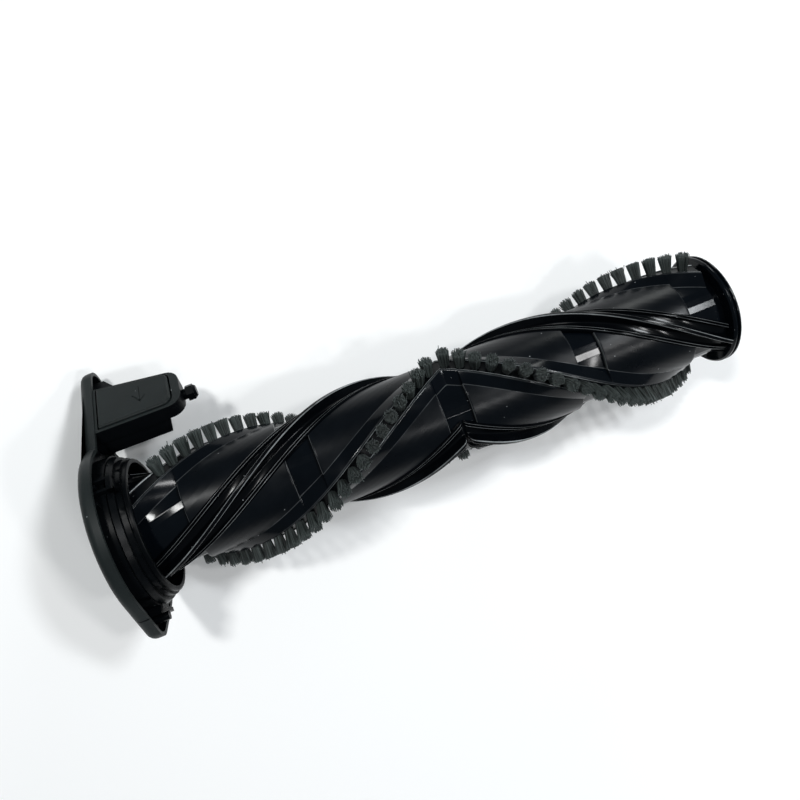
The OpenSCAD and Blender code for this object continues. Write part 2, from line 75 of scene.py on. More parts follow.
# the bands: (x0, x1, the share of the twist that a band's corners follow)
BANDS = [(-112.2, -93.3, 0.5), (-58.5, -49.0, 0.0), (-4.75, 4.75, 0.0),
         (44.2, 53.7, 0.0), (88.1, 99.0, 0.0)]
FLATS = [-12, -4, 4, 12]             # a band's corners, in degrees from the gap's middle

# ---- finer forms of the drum
LIP_W, LIP_H = 0.75, 0.42
LIP_SLOPE, FLANK_HOLD = 0.6, 0.8     # degrees: a lip's inner slope, a flank's lowest part
DRUM_STEP, WALL_CLEAR = 0.85, 0.5    # between stations, and from one to a band's wall

# ---- sizes of the bristles; the strands' tips spread 0.1 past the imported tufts
TIP_R, PITCH, TUFTS = 25.9, 4.42, 22
TUFT_ROOT_R, TUFT_TIP_R, TUFT_SUNK, TUFT_LEAN = 1.4, 2.35, 1.2, 0.2
STRANDS, STRAND_R = 106, 0.14
SPLAY, RAGGED, TRIM = 0.2, 0.24, 0.8

# ---- sizes of the fins
STRIP_HALF, BLADE_HALF, BLADE_R, BEAD_R, FLOOR_R = 20.0, 2.4, 20.8, 18.1, 16.9
STRIP_FOOT = BAND_R + 0.3
FIN_END, FIN_GAP, FIN_OVER, FIN_STEP = 0.6, 0.5, 1.6, 0.9
FIN_ROUNDED, FIN_BASE = 1.4, FLOOR_R - 0.5
FIN_END_SHARE = 0.45                 # of the height over FIN_BASE, at a rounded end

# ---- sizes of the cap; places on its tab are (x, distance out along the tab)
TAB_ANGLE = 41.2
COVER_FLOOR = -118.2 + APEX_X
LATCH_TOP, BUTTON_TOP = 25.0, 25.8
LIP_DEEP = 1.4
ARROW_TIP, ARROW_TOP = (-98.3, 32.3), (-98.2, 39.9)
ARROW_LEFT, ARROW_RIGHT = (-100.6, 35.9), (-96.4, 34.6)
ARROW_W, SHAFT_W, ARROW_DEEP = 0.42, 0.2, 0.25
COLLAR_LIP = [(-107.9, 23.0), (-107.9, 23.53), (-106.68, 23.53), (-106.68, 21.97),
              (-107.9, 21.97), (-107.9, 22.5)]
COLLAR_LIP_ROUNDING = [0, 0.1, 0.45, 0.25, 0.1, 0]
CLIP_R0, CLIP_R1, CLIP_EDGE = 26.3, 28.5, 0.4
# the clip's bars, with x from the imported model's origin: (x0, x1, two angles from +Y)
CLIP_BARS = [(-227.0, -218.9, 47.5, 49.3), (-227.0, -218.9, 56.2, 58.0),
             (-220.8, -218.9, 47.5, 58.0), (-225.4, -224.7, 50.9, 56.3)]
SPRING_AT, SPRING_LOW, SPRING_HIGH = (-100.645, 34.9), 15.05, 20.15
SPRING_R, SPRING_WIRE, SPRING_TURNS = 2.5, 0.3, 5

# ---- the photo's view: place in millimetres, turns in degrees, focal length in pixels
CAMERA_AT = (-153.98, 0, 249.37)
CAMERA_TURNS = (-21.45, "Y"), (-2.08, "X"), (6.78, "Z")
FOCAL, PHOTO_WIDTH, SENSOR = 712.64, 800, 36
FLOOR_HALF, FLOOR_GAP = 3000, 0.3    # the floor's half width, and its drop below the roll

# ---- small helpers for meshes and nodes


def add(tree, kind, values=(), **settings):
    """A node of that kind with its settings, and its inputs by name or number."""
    made = tree.nodes.new(kind)
    for name, value in settings.items():
        setattr(made, name, value)
    for key, value in dict(values).items():
        socket = made.inputs[key]
        if isinstance(value, bpy.types.NodeSocket):
            tree.links.new(value, socket)
        else:
            socket.default_value = value
    return made


def reckon(tree, operation, *values):
    """The result of one Math node."""
    return add(tree, "ShaderNodeMath", enumerate(values), operation=operation).outputs[0]


def blended(tree, share, low, high):
    """low + share * (high - low), from Math nodes."""
    return reckon(tree, "MULTIPLY_ADD", share, reckon(tree, "SUBTRACT", high, low), low)


def new_tree(name, kind, sockets):
    """A node group with its inputs and outputs: (name, socket kind, in or out, default)."""
    tree = bpy.data.node_groups.new(name, kind)
    for label, socket_kind, side, default in sockets:
        made = tree.interface.new_socket(name=label, in_out=side, socket_type=socket_kind)
        if default is not None:
            made.default_value = default
    return tree


def show(piece, body, material_slot, *stands_for):
    """Links a finished piece, and lets it ride on its body in place of CAD nodes."""
    if piece.name not in bpy.context.scene.collection.objects:
        bpy.context.scene.collection.objects.link(piece)
    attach(piece, body)
    if stands_for:
        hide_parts(*stands_for)
    return piece


def grown(name, seed_mesh, tree, values):
    """The plain mesh object that a Geometry Nodes tree makes of a seed mesh."""
    seed = bpy.data.objects.new(name + "_seed", seed_mesh)
    bpy.context.scene.collection.objects.link(seed)
    modifier = seed.modifiers.new("grow", "NODES")
    modifier.node_group = tree
    for item in tree.interface.items_tree:
        if item.item_type == "SOCKET" and item.in_out == "INPUT" and item.name in values:
            modifier[item.identifier] = values[item.name]
    seed.update_tag()
    evaluated = seed.evaluated_get(bpy.context.evaluated_depsgraph_get())
    mesh = bpy.data.meshes.new_from_object(evaluated)
    mesh.name = name
    bpy.data.objects.remove(seed)
    return bpy.data.objects.new(name, mesh)


def outward(mesh):
    """Turns every face of a closed mesh outwards."""
    shape = bmesh.new()
    shape.from_mesh(mesh)
    bmesh.ops.recalc_face_normals(shape, faces=shape.faces)
    shape.to_mesh(mesh)
    shape.free()
    mesh.update()


def smooth(mesh, sharp_over):
    """Smooth shading, with edges sharper than this many degrees kept."""
    mesh.shade_smooth()
    mesh.set_sharp_from_angle(angle=sharp_over * DEG)


# ---- materials


def set_mix(tree, share, first, second):
    """A colour mix of two values, by their sockets of the colour kind."""
    mix = add(tree, "ShaderNodeMix", data_type="RGBA")
    colours = [s for s in mix.inputs if s.type == "RGBA"]
    sockets = mix.inputs[0], colours[0], colours[1]
    for socket, value in zip(sockets, (share, first, second)):
        if isinstance(value, bpy.types.NodeSocket):
            tree.links.new(value, socket)
        else:
            socket.default_value = value
    return next(s for s in mix.outputs if s.type == "RGBA")


def grain_group():
    """Fine moulded grain and soft smudges, on Object coordinates."""
    tree = new_tree("moulded_grain", "ShaderNodeTree", [
        ("Grain Scale", "NodeSocketFloat", "INPUT", 4000.0),
        ("Smudge Scale", "NodeSocketFloat", "INPUT", 90.0),
        ("Base Roughness", "NodeSocketFloat", "INPUT", 0.3),
        ("Smudge Depth", "NodeSocketFloat", "INPUT", 0.15),
        ("Height", "NodeSocketFloat", "OUTPUT", None),
        ("Roughness", "NodeSocketFloat", "OUTPUT", None),
        ("Smudge", "NodeSocketFloat", "OUTPUT", None)])
    given = add(tree, "NodeGroupInput").outputs
    place = add(tree, "ShaderNodeTexCoord").outputs["Object"]
    grain = add(tree, "ShaderNodeTexNoise", {
        "Vector": place, "Scale": given["Grain Scale"], "Detail": 2.0})
    clouds = add(tree, "ShaderNodeTexNoise", {
        "Vector": place, "Scale": given["Smudge Scale"], "Detail": 5.0, "Roughness": 0.65})
    smudge = add(tree, "ShaderNodeMapRange", {
        "Value": clouds.outputs["Fac"], "From Min": 0.35, "From Max": 0.7}).outputs[0]
    rough = reckon(tree, "MULTIPLY_ADD", smudge, given["Smudge Depth"],
                   given["Base Roughness"])
    add(tree, "NodeGroupOutput", {
        "Height": grain.outputs["Fac"], "Roughness": rough, "Smudge": smudge})
    return tree


def shade_highlight_dust_group():
    """Painted shade in recesses, painted highlights along edges, and a few pale specks of
    dust.
    """
    tree = new_tree("painted_shade_highlight_and_dust", "ShaderNodeTree", [
        ("Colour", "NodeSocketColor", "INPUT", (0.01, 0.01, 0.01, 1)),
        ("Painted Shade Share", "NodeSocketFloat", "INPUT", 0.0),
        ("Painted Shade Colour", "NodeSocketColor", "INPUT", (0.0010, 0.0016, 0.0024, 1)),
        ("Painted Edge Highlight", "NodeSocketFloat", "INPUT", 0.0),
        ("Smudge", "NodeSocketFloat", "INPUT", 0.5),
        ("Evenness", "NodeSocketFloat", "INPUT", 0.2),
        ("Painted Highlight Colour", "NodeSocketColor", "INPUT", (0.42, 0.45, 0.46, 1)),
        ("Speck Scale", "NodeSocketFloat", "INPUT", 190.0),
        ("Speck Size", "NodeSocketFloat", "INPUT", 0.04),
        ("Speck Paleness", "NodeSocketFloat", "INPUT", 0.4),
        ("Colour", "NodeSocketColor", "OUTPUT", None)])
    given = add(tree, "NodeGroupInput").outputs
    # painted shade first, then painted edge highlights and real pale dust over it
    with_painted_shade = set_mix(tree, given["Painted Shade Share"], given["Colour"], given["Painted Shade Colour"])
    uneven = blended(tree, given["Smudge"], given["Evenness"], 1.0)
    painted_highlight = reckon(tree, "MULTIPLY", given["Painted Edge Highlight"], uneven)
    place = add(tree, "ShaderNodeTexCoord").outputs["Object"]
    cells = add(tree, "ShaderNodeTexVoronoi", {
        "Vector": place, "Scale": given["Speck Scale"]})
    speck = reckon(tree, "LESS_THAN", cells.outputs["Distance"], given["Speck Size"])
    dust = reckon(tree, "MULTIPLY", speck, given["Speck Paleness"])
    pale = reckon(tree, "MAXIMUM", painted_highlight, dust)
    add(tree, "NodeGroupOutput", {
        "Colour": set_mix(tree, pale, with_painted_shade, given["Painted Highlight Colour"])})
    return tree


GRAIN = grain_group()
SHADE_HIGHLIGHT_DUST = shade_highlight_dust_group()

SATIN_DULL = 0.18      # how much rougher a satin panel is than the gloss round it
SMUDGE_PALER = 0.35    # how much paler the colour is in a smudge


def plastic(name, colour, roughness, smudge, grain_scale, bump, specular, dark_dull=0.0):
    """A moulded plastic or rubber with grain, smudged gloss and slightly uneven colour.

    Where a mesh has them, the attribute satin_share makes it duller, the attribute for
    painted shade darker and by dark_dull duller, and the attribute for painted edge
    highlights paler.
    """
    material = bpy.data.materials.new(name)
    material.use_nodes = True
    tree = material.node_tree
    surface = tree.nodes["Principled BSDF"]
    satin, dark, edge = (
        add(tree, "ShaderNodeAttribute", attribute_name=label).outputs["Fac"]
        for label in ("satin_share", "painted_shade_share", "painted_edge_highlight"))
    dull = reckon(tree, "MULTIPLY_ADD", satin, SATIN_DULL, reckon(
        tree, "MULTIPLY", dark, dark_dull))
    grain = add(tree, "ShaderNodeGroup", node_tree=GRAIN)
    grain.inputs["Grain Scale"].default_value = grain_scale
    grain.inputs["Smudge Depth"].default_value = smudge
    tree.links.new(reckon(tree, "ADD", dull, roughness), grain.inputs["Base Roughness"])
    lighter = tuple(c * (1 + SMUDGE_PALER) + 0.0004 for c in colour) + (1,)
    mixed = set_mix(tree, grain.outputs["Smudge"], colour + (1,), lighter)
    shade_highlight_dust_node = add(tree, "ShaderNodeGroup", node_tree=SHADE_HIGHLIGHT_DUST)
    for socket, value in (("Colour", mixed), ("Painted Shade Share", dark), ("Painted Edge Highlight", edge),
                          ("Smudge", grain.outputs["Smudge"])):
        tree.links.new(value, shade_highlight_dust_node.inputs[socket])
    bumped = add(tree, "ShaderNodeBump", {
        "Strength": 1.0, "Distance": bump * MM, "Height": grain.outputs["Height"]})
    tree.links.new(shade_highlight_dust_node.outputs["Colour"], surface.inputs["Base Color"])
    tree.links.new(grain.outputs["Roughness"], surface.inputs["Roughness"])
    tree.links.new(bumped.outputs["Normal"], surface.inputs["Normal"])
    surface.inputs["Specular IOR Level"].default_value = specular
    return material


def strand_material():
    """Nylon strands, each with its own shade of dark grey."""
    material = bpy.data.materials.new("nylon_strands")
    material.use_nodes = True
    tree = material.node_tree
    surface = tree.nodes["Principled BSDF"]
    shade = add(tree, "ShaderNodeAttribute", attribute_name="strand_shade")
    colour = set_mix(tree, shade.outputs["Fac"], (0.0070, 0.0094, 0.0090, 1),
                     (0.078, 0.094, 0.091, 1))
    rough = add(tree, "ShaderNodeMapRange", {
        "Value": shade.outputs["Fac"], "To Min": 0.42, "To Max": 0.6})
    tree.links.new(colour, surface.inputs["Base Color"])
    tree.links.new(rough.outputs["Result"], surface.inputs["Roughness"])
    surface.inputs["Specular IOR Level"].default_value = 0.35
    return material


def steel_material():
    """Ground steel with fine turning marks."""
    material = bpy.data.materials.new("ground_steel")
    material.use_nodes = True
    tree = material.node_tree
    surface = tree.nodes["Principled BSDF"]
    place = add(tree, "ShaderNodeTexCoord").outputs["Object"]
    stretched = add(tree, "ShaderNodeMapping", {"Vector": place, "Scale": (12.0, 1.0, 1.0)})
    marks = add(tree, "ShaderNodeTexNoise", {
        "Vector": stretched.outputs["Vector"], "Scale": 1500.0, "Detail": 3.0})
    rough = add(tree, "ShaderNodeMapRange", {
        "Value": marks.outputs["Fac"], "To Min": 0.22, "To Max": 0.42})
    colour = set_mix(tree, marks.outputs["Fac"], (0.5, 0.51, 0.53, 1),
                     (0.62, 0.63, 0.65, 1))
    tree.links.new(colour, surface.inputs["Base Color"])
    tree.links.new(rough.outputs["Result"], surface.inputs["Roughness"])
    surface.inputs["Metallic"].default_value = 1.0
    return material


GLOSS = plastic("gloss_black", (0.0012, 0.0021, 0.0034), roughness=0.09, smudge=0.07,
                grain_scale=1400, bump=0.003, specular=0.125, dark_dull=0.2)
FIN = plastic("fin_rubber", (0.0008, 0.0012, 0.0018), roughness=0.12, smudge=0.06,
              grain_scale=2600, bump=0.003, specular=0.11)
SATIN = plastic("satin_black", (0.0092, 0.0122, 0.0124), roughness=0.42, smudge=0.12,
                grain_scale=5200, bump=0.012, specular=0.18)
BODY = plastic("body_black", (0.0010, 0.0015, 0.0020), roughness=0.26, smudge=0.14,
               grain_scale=3400, bump=0.006, specular=0.07)
PLUG = plastic("plug_grey", (0.030, 0.034, 0.034), roughness=0.45, smudge=0.12,
               grain_scale=4200, bump=0.008, specular=0.3)
NYLON = strand_material()
STEEL = steel_material()

# ---- Geometry Nodes trees


def winding_tree():
    """Winds a flat sheet round the roll: X along it, Y the angle, Z the distance out.

    The angle falls with the distance from the chevron's point on both sides of it.
    """
    tree = new_tree("wind_round_roll", "GeometryNodeTree", [
        ("Geometry", "NodeSocketGeometry", "INPUT", None),
        ("Twist", "NodeSocketFloat", "INPUT", 0.0),
        ("Point X", "NodeSocketFloat", "INPUT", 0.0),
        ("Material", "NodeSocketMaterial", "INPUT", None),
        ("Geometry", "NodeSocketGeometry", "OUTPUT", None)])
    given = add(tree, "NodeGroupInput").outputs
    flat = add(tree, "ShaderNodeSeparateXYZ",
               {0: add(tree, "GeometryNodeInputPosition").outputs[0]})
    x, angle, reach = flat.outputs
    turn = reckon(tree, "SUBTRACT", angle, reckon(
        tree, "MULTIPLY", given["Twist"], reckon(tree, "ABSOLUTE", x)))
    place = add(tree, "ShaderNodeCombineXYZ", {
        "X": reckon(tree, "ADD", x, given["Point X"]),
        "Y": reckon(tree, "MULTIPLY", reach, reckon(tree, "SINE", turn)),
        "Z": reckon(tree, "MULTIPLY", reach, reckon(tree, "COSINE", turn))})
    wound = add(tree, "GeometryNodeSetPosition", {
        "Geometry": given["Geometry"], "Position": place.outputs[0]})
    real = add(tree, "GeometryNodeRealizeInstances", {"Geometry": wound.outputs[0]})
    dressed = add(tree, "GeometryNodeSetMaterial", {
        "Geometry": real.outputs[0], "Material": given["Material"]})
    add(tree, "NodeGroupOutput", {"Geometry": dressed.outputs[0]})
    return tree


GOLDEN_ANGLE = 2.399963


def tuft_tree():
    """A half row of bristle tufts: every strand is a curve from its root to its cut tip."""
    tree = new_tree("bristle_half_row", "GeometryNodeTree", [
        ("Geometry", "NodeSocketGeometry", "INPUT", None),
        ("Tufts", "NodeSocketInt", "INPUT", 22),
        ("Strands", "NodeSocketInt", "INPUT", 90),
        ("Side", "NodeSocketFloat", "INPUT", 1.0),
        ("First", "NodeSocketFloat", "INPUT", 0.5),
        ("Pitch", "NodeSocketFloat", "INPUT", 0.0044),
        ("Row Angle", "NodeSocketFloat", "INPUT", 0.0),
        ("Twist", "NodeSocketFloat", "INPUT", 0.0),
        ("Point X", "NodeSocketFloat", "INPUT", 0.0),
        ("Root Reach", "NodeSocketFloat", "INPUT", 0.018),
        ("Tip Reach", "NodeSocketFloat", "INPUT", 0.0259),
        ("Root Radius", "NodeSocketFloat", "INPUT", 0.0013),
        ("Tip Radius", "NodeSocketFloat", "INPUT", 0.0019),
        ("Strand Radius", "NodeSocketFloat", "INPUT", 0.0001),
        ("Splay", "NodeSocketFloat", "INPUT", 0.0003),
        ("Ragged", "NodeSocketFloat", "INPUT", 0.0004),
        ("Trim", "NodeSocketFloat", "INPUT", 0.0008),
        ("Lean", "NodeSocketFloat", "INPUT", 0.0002),
        ("Seed", "NodeSocketInt", "INPUT", 0),
        ("Material", "NodeSocketMaterial", "INPUT", None),
        ("Geometry", "NodeSocketGeometry", "OUTPUT", None)])
    given = add(tree, "NodeGroupInput").outputs
    line = add(tree, "GeometryNodeCurvePrimitiveLine", {"End": (0, 0, 1)})
    fine = add(tree, "GeometryNodeResampleCurve", {"Curve": line.outputs[0], "Count": 5})
    total = reckon(tree, "MULTIPLY", given["Tufts"], given["Strands"])
    copies = add(tree, "GeometryNodeDuplicateElements", {
        "Geometry": fine.outputs[0], "Amount": total}, domain="SPLINE")
    index = copies.outputs["Duplicate Index"]
    tuft = reckon(tree, "FLOOR", reckon(
        tree, "DIVIDE", reckon(tree, "ADD", index, 0.5), given["Strands"]))
    strand = reckon(tree, "SUBTRACT", index, reckon(
        tree, "MULTIPLY", tuft, given["Strands"]))

    def chances(number, identity):
        """Three random numbers from -1 to 1 for each strand, or for each tuft."""
        drawn = add(tree, "FunctionNodeRandomValue", {
            "Min": Vector((-1.0,) * 3), "Max": Vector((1.0,) * 3), "ID": identity,
            "Seed": reckon(tree, "ADD", given["Seed"], float(number))},
            data_type="FLOAT_VECTOR")
        return add(tree, "ShaderNodeSeparateXYZ", {0: drawn.outputs[0]}).outputs

    along = add(tree, "GeometryNodeSplineParameter").outputs["Factor"]
    bend_x, bend_t, cut_chance = chances(1, index)
    shade, _, stray_chance = chances(2, index)
    lean_x, lean_t, tuft_shade = chances(3, tuft)

    # a strand's place in the tuft's round root, on a sunflower's spiral
    from_middle = reckon(tree, "SQRT", reckon(tree, "DIVIDE", reckon(
        tree, "ADD", strand, 0.5), given["Strands"]))
    round_it = reckon(tree, "MULTIPLY", strand, GOLDEN_ANGLE)
    u = reckon(tree, "MULTIPLY", from_middle, reckon(tree, "COSINE", round_it))
    v = reckon(tree, "MULTIPLY", from_middle, reckon(tree, "SINE", round_it))
    opened = reckon(tree, "POWER", along, 0.8)
    radius = blended(tree, opened, given["Root Radius"], given["Tip Radius"])
    bow = reckon(tree, "MULTIPLY", reckon(tree, "POWER", along, 2.0), given["Splay"])
    # one strand in forty or so is a stray one: it bends several times as far
    stray = reckon(tree, "POWER", reckon(tree, "ABSOLUTE", stray_chance), 30.0)
    bow = reckon(tree, "MULTIPLY", bow, reckon(tree, "MULTIPLY_ADD", stray, 6.0, 1.0))
    lean = reckon(tree, "MULTIPLY", along, given["Lean"])
    off_x = reckon(tree, "MULTIPLY_ADD", bend_x, bow, reckon(
        tree, "MULTIPLY_ADD", u, radius, reckon(tree, "MULTIPLY", lean_x, lean)))
    off_t = reckon(tree, "MULTIPLY_ADD", bend_t, bow, reckon(
        tree, "MULTIPLY_ADD", v, radius, reckon(tree, "MULTIPLY", lean_t, lean)))
    # all but the stray strands are cut to the same reach
    cut = reckon(tree, "MULTIPLY_ADD", given["Trim"], reckon(tree, "SUBTRACT", stray, 1.0),
                 given["Tip Reach"])
    tip = reckon(tree, "MULTIPLY_ADD", reckon(tree, "SUBTRACT", cut_chance, 1.0),
                 reckon(tree, "MULTIPLY", given["Ragged"], 0.5), cut)
    reach = blended(tree, along, given["Root Reach"], tip)

    station = reckon(tree, "MULTIPLY", given["Side"], reckon(
        tree, "MULTIPLY", reckon(tree, "ADD", tuft, given["First"]), given["Pitch"]))
    turn = reckon(tree, "SUBTRACT", given["Row Angle"], reckon(
        tree, "MULTIPLY", given["Twist"], reckon(tree, "ABSOLUTE", station)))
    sine, cosine = reckon(tree, "SINE", turn), reckon(tree, "COSINE", turn)
    place = add(tree, "ShaderNodeCombineXYZ", {
        "X": reckon(tree, "ADD", reckon(tree, "ADD", station, given["Point X"]), off_x),
        "Y": reckon(tree, "MULTIPLY_ADD", reach, sine, reckon(
            tree, "MULTIPLY", off_t, cosine)),
        "Z": reckon(tree, "SUBTRACT", reckon(tree, "MULTIPLY", reach, cosine), reckon(
            tree, "MULTIPLY", off_t, sine))})
    placed = add(tree, "GeometryNodeSetPosition", {
        "Geometry": copies.outputs["Geometry"], "Position": place.outputs[0]})
    # every strand has its own shade and is paler at its cut tip
    own_shade = reckon(tree, "MULTIPLY_ADD", shade, 0.45, reckon(
        tree, "MULTIPLY_ADD", tuft_shade, 0.08, 0.4))
    shaded = add(tree, "GeometryNodeStoreNamedAttribute", {
        "Geometry": placed.outputs[0], "Name": "strand_shade", "Value": reckon(
            tree, "MULTIPLY_ADD", reckon(tree, "POWER", along, 6.0), 0.5, own_shade)},
        data_type="FLOAT", domain="POINT")
    ring = add(tree, "GeometryNodeCurvePrimitiveCircle", {"Resolution": 4, "Radius": 1.0})
    tube = add(tree, "GeometryNodeCurveToMesh", {
        "Curve": shaded.outputs[0], "Profile Curve": ring.outputs[0],
        "Scale": reckon(tree, "MULTIPLY", given["Strand Radius"],
                        blended(tree, along, 1.0, 0.95)), "Fill Caps": True})
    soft = add(tree, "GeometryNodeSetShadeSmooth", {"Geometry": tube.outputs[0]})
    real = add(tree, "GeometryNodeRealizeInstances", {"Geometry": soft.outputs[0]})
    dressed = add(tree, "GeometryNodeSetMaterial", {
        "Geometry": real.outputs[0], "Material": given["Material"]})
    add(tree, "NodeGroupOutput", {"Geometry": dressed.outputs[0]})
    return tree


WIND = winding_tree()
TUFT = tuft_tree()

# ---- sections and sheets


CORNER_STEPS = 3


def rounded_line(points, radii):
    """An open line of (s, r) points with its inner corners rounded by short arcs."""
    out = [points[0]]
    for i in range(1, len(points) - 1):
        here, radius = Vector(points[i]), radii[i]
        back, ahead = Vector(points[i - 1]) - here, Vector(points[i + 1]) - here
        reach = min(radius, 0.45 * back.length, 0.45 * ahead.length)
        if radius <= 0 or reach < 1e-4:
            out.append(tuple(here))
            continue
        start, end = here + back.normalized() * reach, here + ahead.normalized() * reach
        for k in range(CORNER_STEPS + 1):
            t = k / CORNER_STEPS
            out.append(tuple(start * (1 - t) ** 2 + here * 2 * t * (1 - t) + end * t ** 2))
    out.append(points[-1])
    return out


def sheet_mesh(name, rows, closed_rows=False):
    """A mesh of rows that have as many points, closed round each row.

    closed_rows joins the last row to the first; otherwise a face closes each end.
    """
    count = len(rows[0])
    verts = [p for row in rows for p in row]
    last = len(rows) if closed_rows else len(rows) - 1
    faces = []
    for j in range(last):
        a, b = j * count, ((j + 1) % len(rows)) * count
        for i in range(count):
            k = (i + 1) % count
            faces.append((a + i, a + k, b + k, b + i))
    if not closed_rows:
        faces.append(tuple(range(count))[::-1])
        faces.append(tuple((len(rows) - 1) * count + i for i in range(count)))
    mesh = bpy.data.meshes.new(name)
    mesh.from_pydata(verts, [], faces)
    return mesh


def spread(low, high, step):
    """Even places from low to high, about step apart."""
    count = max(1, math.ceil((high - low) / step - 1e-9))
    return [low + (high - low) * i / count for i in range(count + 1)]


def phase(x):
    """Degrees that the rows have turned at x."""
    return -TWIST * abs(x)


def rib_line(foot_r):
    """The rib from flank to flank: (degrees, radius), with a rounded lip on both edges."""
    per_degree = RIB_R * DEG
    lip = LIP_W / per_degree
    hold = FLANK_HALF - FLANK_HOLD
    hold_r = foot_r + FLANK_HOLD / (FLANK_HALF - LAND_HALF) * (RIB_R - foot_r)
    half = [(-FLANK_HALF, foot_r), (-hold, hold_r), (-LAND_HALF, RIB_R),
            (-LAND_HALF + lip, RIB_R), (-LAND_HALF + lip + LIP_SLOPE, RIB_R - LIP_H)]
    points = half + [(-a, r) for a, r in reversed(half)]
    flat = [(a * per_degree, r) for a, r in points]
    line = rounded_line(flat, [0, 0, 0.55, 0.3, 0.2, 0.2, 0.3, 0.55, 0, 0])
    return [(s / per_degree, r) for s, r in line]


# How much painted highlight the rib's edges get, by the points of rib_line: its feet first
# and last, and between them each lip's outer corner and inner edge. The land between the
# lips gets painted shade.
LIP_HIGHLIGHT_PAINT = {0: 0.2, 3: 0.1, 4: 0.1, 6: 0.1, 7: 0.9, 8: 1.3, 9: 0.3,
            18: 0.3, 19: 1.3, 20: 0.9, 21: 0.1, 23: 0.1, 24: 0.1, 27: 0.2}
LAND_POINTS = range(10, 18)
STEP_HIGHLIGHT_PAINT = 0.3        # the same for the upper edge of a band's wall


def gap_corners(side):
    """Angles from the rib of a band's corners between rib and channel."""
    middle = (FLANK_HALF + 90 - CHANNEL_HALF) / 2
    corners = [middle + f for f in FLATS]
    return corners if side > 0 else [-c for c in reversed(corners)]


FLAT_STEPS = [0, 0.04, 0.1, 0.5, 0.9, 0.96]   # close to the corners, to look rounded


def gap_points(band, crease, side):
    """Points between rib and channel: (degrees from the rib, radius).

    band is 0 on a panel and 1 in a band, and crease is the twist that a band's corners
    have there beyond their own station's.
    """
    corners = gap_corners(side)
    ends = (FLANK_HALF, 90 - CHANNEL_HALF) if side > 0 else (CHANNEL_HALF - 90, -FLANK_HALF)
    knots = [ends[0]] + corners + [ends[1]]
    moved = [ends[0]] + [c + crease for c in corners] + [ends[1]]
    points = []
    for n in range(len(knots) - 1):
        for t in FLAT_STEPS:
            if n == 0 and t == 0:
                continue
            round_angle = knots[n] + (knots[n + 1] - knots[n]) * t
            a, b = moved[n] * DEG, moved[n + 1] * DEG
            y = BAND_R * (math.sin(a) * (1 - t) + math.sin(b) * t)
            z = BAND_R * (math.cos(a) * (1 - t) + math.cos(b) * t)
            flat_angle, flat_r = math.degrees(math.atan2(y, z)), math.hypot(y, z)
            points.append((round_angle + (flat_angle - round_angle) * band,
                           PANEL_R + (flat_r - PANEL_R) * band))
    return points


def channel_line(outer_r):
    """The channel for a fin, with a steep wall on each side: (degrees from it, radius)."""
    edge = CHANNEL_HALF
    return [(-edge, outer_r), (-edge + 0.2, BAND_R)] + [
        (a, BAND_R) for a in spread(-edge + 3, edge - 3, 4)] + [
        (edge - 0.2, BAND_R), (edge, outer_r)]


def drum_row(x, band, crease):
    """One station of the drum: (x, angle, radius) round it, without the twist at x."""
    foot = PANEL_R + (BAND_R - PANEL_R) * band
    row = []
    for side in (0, 180):
        rib = rib_line(foot)
        row += [(RIB_B + side + a, r) for a, r in rib]
        row += [(RIB_B + side + a, r) for a, r in gap_points(band, crease, 1)]
        row += [(FIN_A + side + a, r) for a, r in channel_line(foot)]
        row += [(RIB_B + 180 + side + a, r) for a, r in gap_points(band, crease, -1)]
    return [(x * MM, a * DEG, r * MM) for a, r in row]


# A band's wall: (distance inside the band, band share), with a rounded upper edge
STEP = [(-0.40, 0.0), (-0.26, 0.02), (-0.13, 0.075), (-0.05, 0.16), (-0.01, 0.27),
        (0.08, 0.9), (0.2, 1.0)]


def drum_stations():
    """(x, band share, crease) from the cap's end to the drive end."""
    edges = [e for low, high, _ in BANDS for e in (low, high)]
    stops = {x for x in spread(DRUM_X0, DRUM_X1, DRUM_STEP)
             if all(abs(x - e) > WALL_CLEAR for e in edges)}
    for low, high, _ in BANDS:
        for inside, _ in STEP:
            stops |= {round(low + inside, 4), round(high - inside, 4)}
    out = []
    for x in sorted(s for s in stops if DRUM_X0 <= s <= DRUM_X1):
        band, crease = 0.0, 0.0
        for low, high, share in BANDS:
            inside = min(x - low, high - x)
            if inside >= STEP[0][0] - 1e-3:
                band = next((b for i, b in STEP if abs(i - inside) < 1e-3), 1.0)
                low_in, high_in = max(low, DRUM_X0), min(high, DRUM_X1)
                middle = high / 2 if low < 0 < high else (low_in + high_in) / 2
                crease = (phase(middle) - phase(x)) * (1 - share)
        out.append((x, band, crease))
    return out


def make_drum():
    """The drum's skin with its bore, wound round the roll."""
    rows = [drum_row(*station) for station in drum_stations()]
    bore = [[(x, angle, BORE_R * MM) for x, angle, _ in rows[end]] for end in (-1, 0)]
    mesh = sheet_mesh("drum_sheet", rows + bore, closed_rows=True)
    piece = grown("drum_skin", mesh, WIND, {
        "Twist": TWIST * DEG / MM, "Point X": APEX_X * MM, "Material": GLOSS})
    outward(piece.data)
    smooth(piece.data, sharp_over=24)
    mark_panels(piece.data, len(rows[0]))
    return show(piece, "roll", "gloss_black", "drum")


